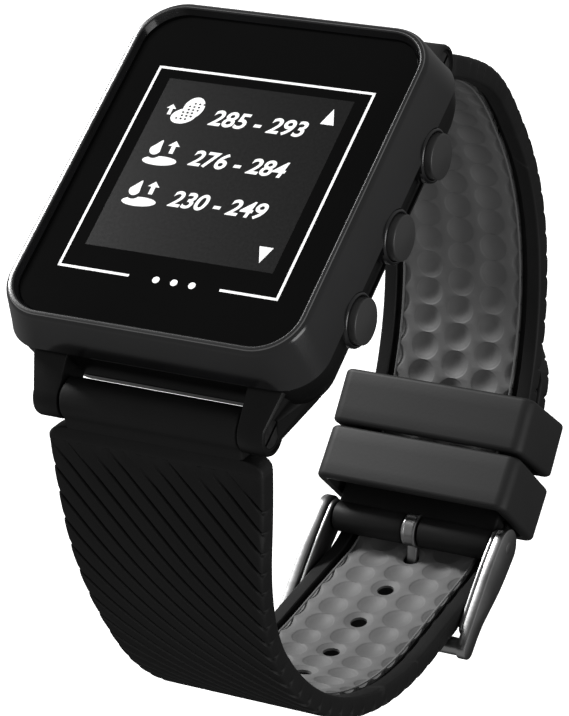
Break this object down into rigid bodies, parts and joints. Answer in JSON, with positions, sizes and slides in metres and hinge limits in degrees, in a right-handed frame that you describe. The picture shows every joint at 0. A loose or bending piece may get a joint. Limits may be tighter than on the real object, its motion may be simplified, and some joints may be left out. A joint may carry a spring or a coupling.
{
  "type": "golf gps watch",
  "caption": "Wrist watch for golf with a square display in a glossy case, side buttons and a lined rubber strap buckled into a loop.",
  "frame": {"origin": "centre of the outer face of the rear cover, where the watch lies on a wrist", "axes": "+Z out of the display, +Y towards the 12 o'clock strap, +X towards the buttons"},
  "size_m": [0.0398, 0.0775, 0.0808],
  "materials": {
    "upper_case": "glossy black",
    "lens": "dark tinted glass, polished",
    "lens_gasket": "black foam tape",
    "display_panel": "grey reflective liquid crystal panel",
    "display_frame": "matt black moulding",
    "main_board": "green circuit board",
    "gps_antenna": "pale ceramic",
    "battery": "silver foil pouch",
    "vibration_motor": "plain steel can",
    "side_switches": "dark grey moulding",
    "lower_case": "satin black",
    "rear_cover": "fine brushed",
    "rear_cover_seal": "black",
    "rear_cover_screws": "plain",
    "contact_insert": "matt black",
    "charge_contacts": "gold plated",
    "up_button": "satin black",
    "ok_button": "satin black",
    "down_button": "satin black",
    "up_button_clip": "plain",
    "ok_button_clip": "plain",
    "down_button_clip": "plain",
    "button_seals": "black",
    "upper_strap_bar": "plain",
    "lower_strap_bar": "plain",
    "strap_bar_screws": "darkened",
    "upper_strap": "matt black",
    "upper_liner": "matt grey",
    "lower_strap": "matt black",
    "lower_liner": "matt grey",
    "upper_keeper": "matt black",
    "lower_keeper": "matt black",
    "buckle_frame": "satin",
    "buckle_bar": "satin",
    "buckle_prong": "satin"
  },
  "bodies": {
    "case": {"upper_case": "upper_case", "lens": "lens", "lens_gasket": "lens_gasket", "display_panel": "display_panel", "display_frame": "display_frame", "main_board": "main_board", "gps_antenna": "gps_antenna", "battery": "battery", "vibration_motor": "vibration_motor", "side_switches": "side_switches", "lower_case": "lower_case", "rear_cover": "rear_cover", "rear_cover_seal": "rear_cover_seal", "rear_cover_screws": "rear_cover_screws", "contact_insert": "contact_insert", "charge_contacts": "charge_contacts", "button_seals": "button_seals", "upper_strap_bar": "upper_strap_bar", "lower_strap_bar": "lower_strap_bar", "strap_bar_screws": "strap_bar_screws"},
    "up_button": {"up_button": "up_button", "up_button_clip": "up_button_clip"},
    "ok_button": {"ok_button": "ok_button", "ok_button_clip": "ok_button_clip"},
    "down_button": {"down_button": "down_button", "down_button_clip": "down_button_clip"},
    "upper_strap": {"upper_strap": "upper_strap", "upper_liner": "upper_liner", "buckle_bar": "buckle_bar"},
    "lower_strap": {"lower_strap": "lower_strap", "lower_liner": "lower_liner"},
    "lower_keeper": {"lower_keeper": "lower_keeper"},
    "upper_keeper": {"upper_keeper": "upper_keeper"},
    "buckle_frame": {"buckle_frame": "buckle_frame"},
    "buckle_prong": {"buckle_prong": "buckle_prong"}
  },
  "joints": [
    {"name": "up_button_press", "type": "slide", "parent": "case", "child": "up_button", "axis": [-1, 0, 0], "range_m": [0, 0.0007], "stiffness_N_per_m": 2000, "springref_m": -0.0005},
    {"name": "ok_button_press", "type": "slide", "parent": "case", "child": "ok_button", "axis": [-1, 0, 0], "range_m": [0, 0.0007], "stiffness_N_per_m": 2000, "springref_m": -0.0005},
    {"name": "down_button_press", "type": "slide", "parent": "case", "child": "down_button", "axis": [-1, 0, 0], "range_m": [0, 0.0007], "stiffness_N_per_m": 2000, "springref_m": -0.0005},
    {"name": "upper_strap_hinge", "type": "hinge", "parent": "case", "child": "upper_strap", "pos_m": [0, 0.0249, 0.0026], "axis": [1, 0, 0], "range_deg": [0, 65]},
    {"name": "lower_strap_hinge", "type": "hinge", "parent": "case", "child": "lower_strap", "pos_m": [0, -0.0249, 0.0026], "axis": [-1, 0, 0], "range_deg": [0, 65], "deforming": ["lower_strap", "lower_liner"]},
    {"name": "lower_keeper_slide", "type": "slide", "parent": "upper_strap", "child": "lower_keeper", "axis": [0, 0.9771, 0.2128], "range_m": [0, 0.002]},
    {"name": "upper_keeper_slide", "type": "slide", "parent": "lower_keeper", "child": "upper_keeper", "axis": [0, 0.952, 0.3061], "range_m": [0, 0.004]},
    {"name": "buckle_hinge", "type": "hinge", "parent": "upper_strap", "child": "buckle_frame", "pos_m": [0, 0.00126, -0.06182], "axis": [1, 0, 0], "range_deg": [0, 60]},
    {"name": "prong_hinge", "type": "hinge", "parent": "buckle_frame", "child": "buckle_prong", "pos_m": [0, 0.00126, -0.06182], "axis": [1, 0, 0], "range_deg": [0, 40]}
  ]
}
